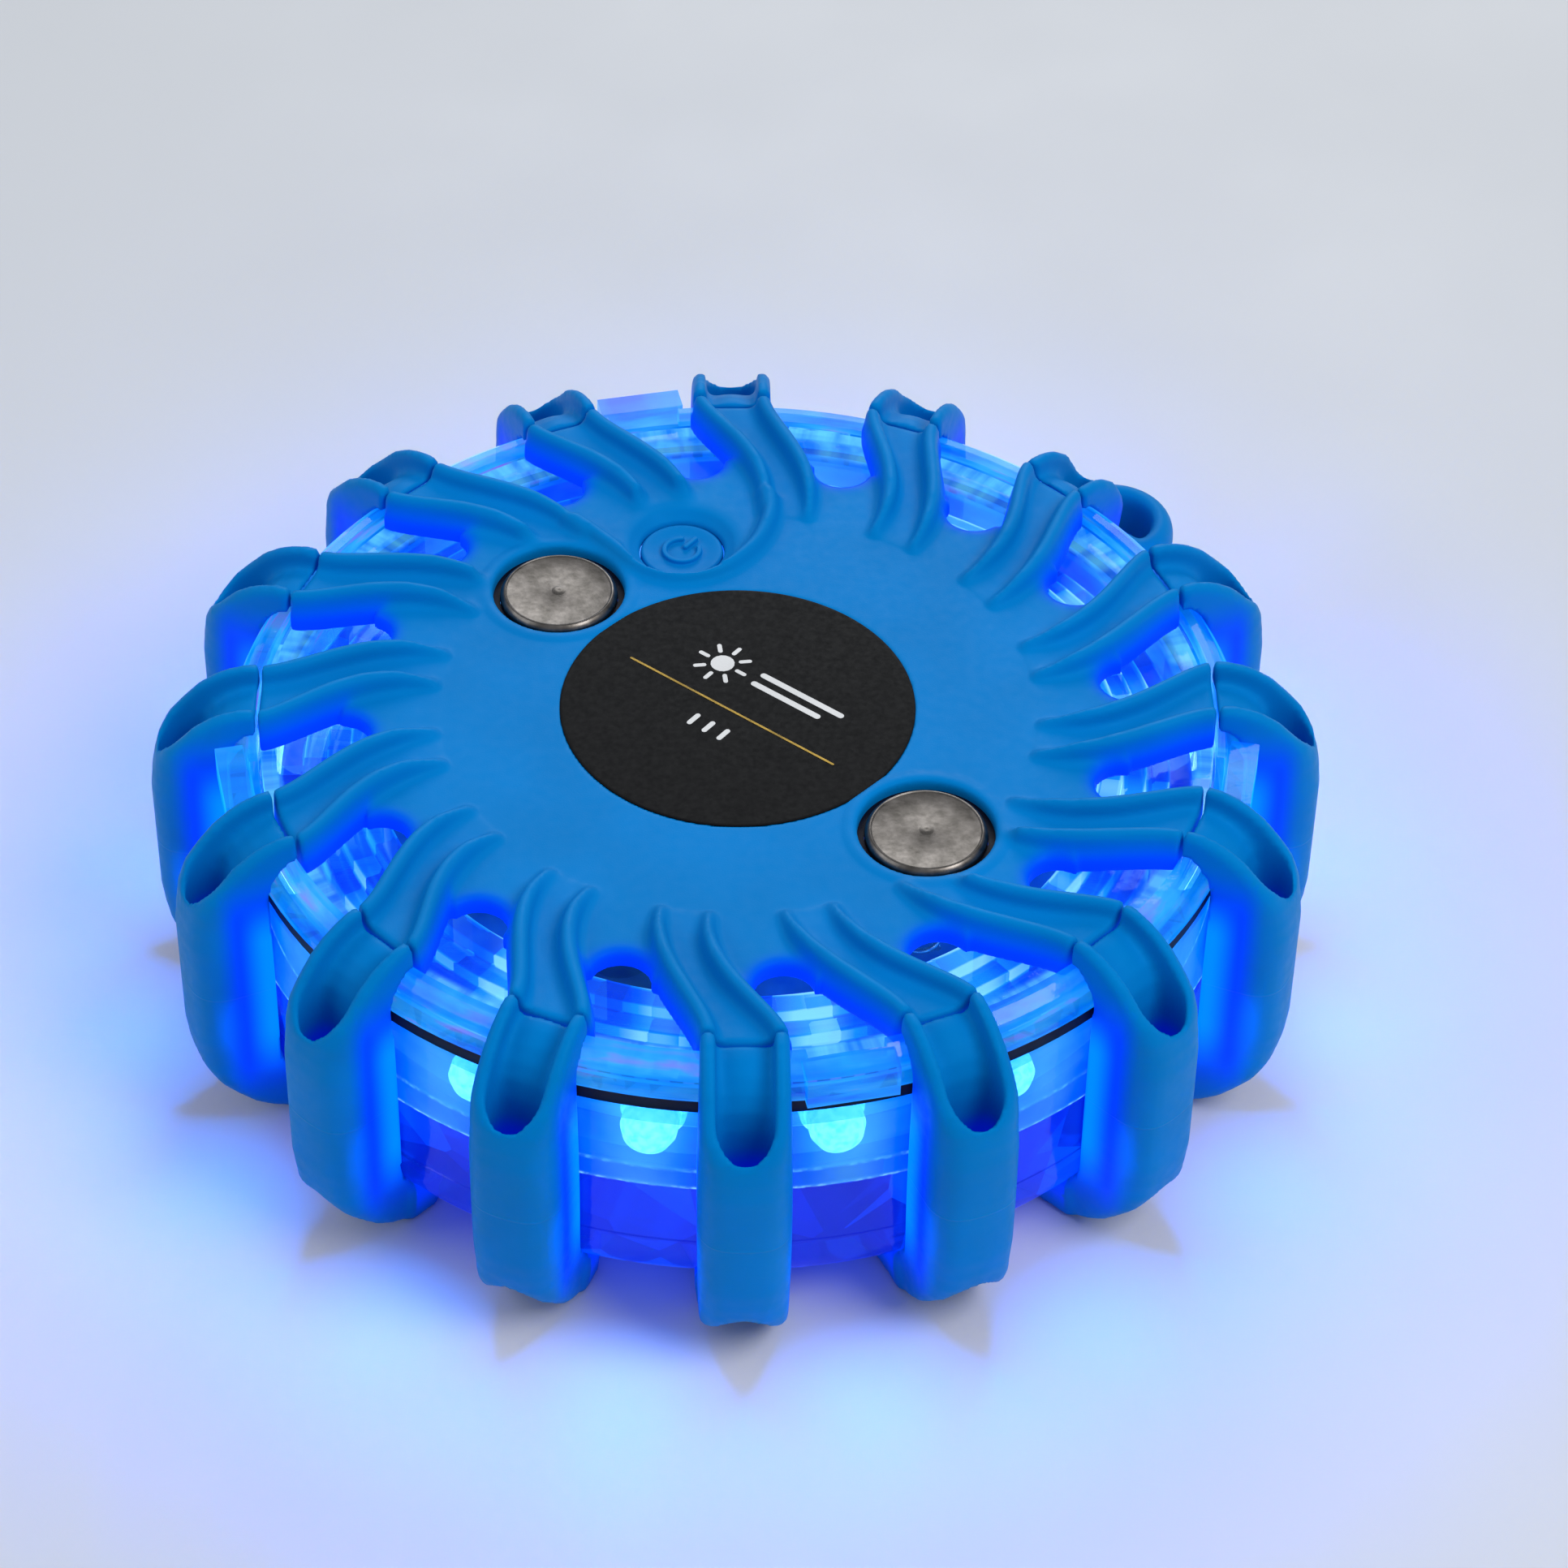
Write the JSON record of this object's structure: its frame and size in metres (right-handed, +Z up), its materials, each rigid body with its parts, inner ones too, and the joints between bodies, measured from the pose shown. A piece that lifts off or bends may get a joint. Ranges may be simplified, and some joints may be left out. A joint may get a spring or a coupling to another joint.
{
  "type": "led road flare",
  "caption": "Round rechargeable LED road flare: a clear disc with lamps round its rim, in a ribbed rubber bumper with a hanging eyelet and a push button.",
  "frame": {"origin": "centre of the underside, at the plane the flare stands on", "axes": "+Z up through the cap, -Y towards the viewer; one post lies on +X and the button is at about 102 degrees from +X"},
  "size_m": [0.107, 0.107, 0.033],
  "materials": {
    "bumper_rubber": "satin",
    "cover_rubber": "satin",
    "button_rubber": "satin",
    "clear_lens": "clear gloss",
    "clear_ring": "clear gloss",
    "clear_plate": "clear gloss",
    "clear_prism": "clear gloss",
    "seal_rubber": "matt",
    "label_black": "gloss",
    "contact_nickel": "turned",
    "switch_plastic": "matt",
    "switch_case": "matt",
    "board": "gloss",
    "reflector_white": "gloss",
    "screw_steel": "plated",
    "capacitor_sleeve": "gloss",
    "ferrite": "matt",
    "chip": "matt",
    "spring_steel": "plated",
    "battery_wrap": "foil",
    "tray_plastic": "matt",
    "foam": "matt",
    "tab_nickel": "plated",
    "magnet_nickel": "plated",
    "led_lens": "clear gloss"
  },
  "bodies": {
    "housing": {"bumper": "bumper_rubber", "lower_lens": "clear_lens", "shoulder_ring": "clear_ring", "prism_ring": "clear_prism", "seal_ring": "seal_rubber", "cap_seal": "seal_rubber", "tact_plunger": "switch_plastic", "tact_switch": "switch_case", "circuit_board": "board", "led_reflector": "reflector_white", "board_screws": "screw_steel", "capacitor_front": "capacitor_sleeve", "capacitor_side": "capacitor_sleeve", "inductor": "ferrite", "charge_chip": "chip", "driver_chip": "chip", "contact_spring_positive": "spring_steel", "contact_spring_negative": "spring_steel", "battery_cell": "battery_wrap", "battery_tray": "tray_plastic", "battery_foam": "foam", "battery_tab_positive": "tab_nickel", "battery_tab_negative": "tab_nickel", "base_magnet_front": "magnet_nickel", "base_magnet_rear": "magnet_nickel", "led_01": "led_lens", "led_02": "led_lens", "led_03": "led_lens", "led_04": "led_lens", "led_05": "led_lens", "led_06": "led_lens", "led_07": "led_lens", "led_08": "led_lens", "led_09": "led_lens", "led_10": "led_lens", "led_11": "led_lens", "led_12": "led_lens", "led_13": "led_lens", "led_14": "led_lens", "led_15": "led_lens", "led_16": "led_lens"},
    "cap": {"top_cover": "cover_rubber", "cap_plate": "clear_plate", "label_disc": "label_black", "contact_pad_positive": "contact_nickel", "contact_pad_negative": "contact_nickel", "pad_seal_positive": "seal_rubber", "pad_seal_negative": "seal_rubber"},
    "button": {"power_button": "button_rubber", "button_stem": "switch_plastic"}
  },
  "joints": [
    {"name": "cap_turn", "type": "hinge", "parent": "housing", "child": "cap", "pos_m": [0, 0, 0.0268], "axis": [0, 0, 1], "range_deg": [0, 22.5]},
    {"name": "button_press", "type": "slide", "parent": "cap", "child": "button", "axis": [0, 0, -1], "range_m": [0, 0.0005], "stiffness_N_per_m": 4000}
  ]
}
